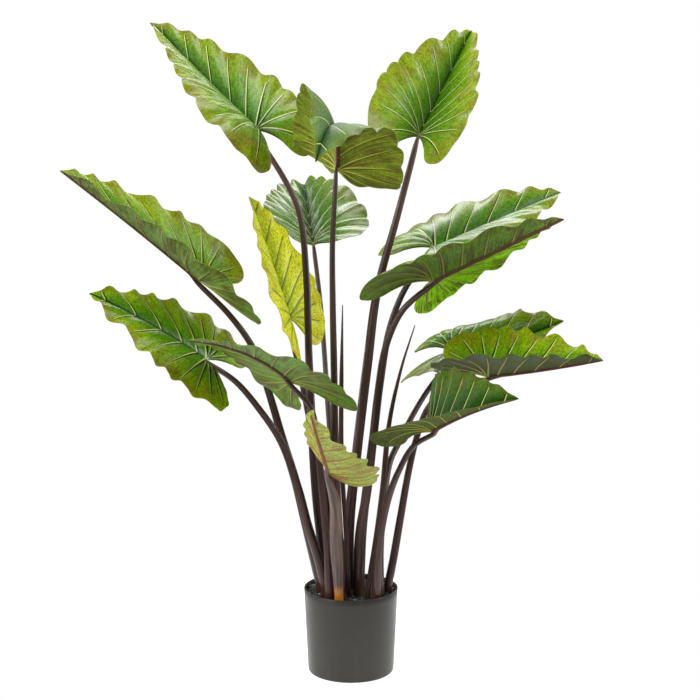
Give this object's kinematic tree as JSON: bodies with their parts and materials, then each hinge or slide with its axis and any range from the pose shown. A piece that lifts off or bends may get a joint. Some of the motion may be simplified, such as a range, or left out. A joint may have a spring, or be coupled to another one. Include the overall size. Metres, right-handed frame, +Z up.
{
  "type": "potted colocasia",
  "caption": "Tall house plant with large wavy arrow-shaped leaves on dark slender stalks, standing in a round tapered planter filled with soil",
  "frame": {"origin": "centre of the flat underside of the pot", "axes": "+Z up, the pot's axis; +X to the right and -Y to the front as pictured"},
  "size_m": [0.8084, 0.7252, 1.0254],
  "materials": {
    "pot": "satin dark grey",
    "soil": "rough dark crumbs of bark and peat",
    "leaf": "green, glossy above, brownish and duller below",
    "yellow_leaf": "yellowing leaf, satin",
    "young_leaf": "pale young leaf, satin",
    "stalk": "smooth dark brown-purple, satin",
    "spear": "smooth brown, satin"
  },
  "bodies": {
    "root": {"pot": "pot", "soil": "soil", "leaf_01": "leaf", "stalk_01": "stalk", "leaf_02": "leaf", "stalk_02": "stalk", "leaf_03": "leaf", "stalk_03": "stalk", "leaf_04": "leaf", "stalk_04": "stalk", "leaf_05": "leaf", "stalk_05": "stalk", "leaf_06": "leaf", "stalk_06": "stalk", "leaf_07": "yellow_leaf", "stalk_07": "stalk", "leaf_08": "leaf", "stalk_08": "stalk", "leaf_09": "leaf", "stalk_09": "stalk", "leaf_10": "leaf", "stalk_10": "stalk", "leaf_11": "leaf", "stalk_11": "stalk", "leaf_12": "leaf", "stalk_12": "stalk", "leaf_13": "leaf", "stalk_13": "stalk", "leaf_14": "young_leaf", "stalk_14": "stalk", "spear_left": "spear", "spear_right": "spear"}
  },
  "joints": []
}
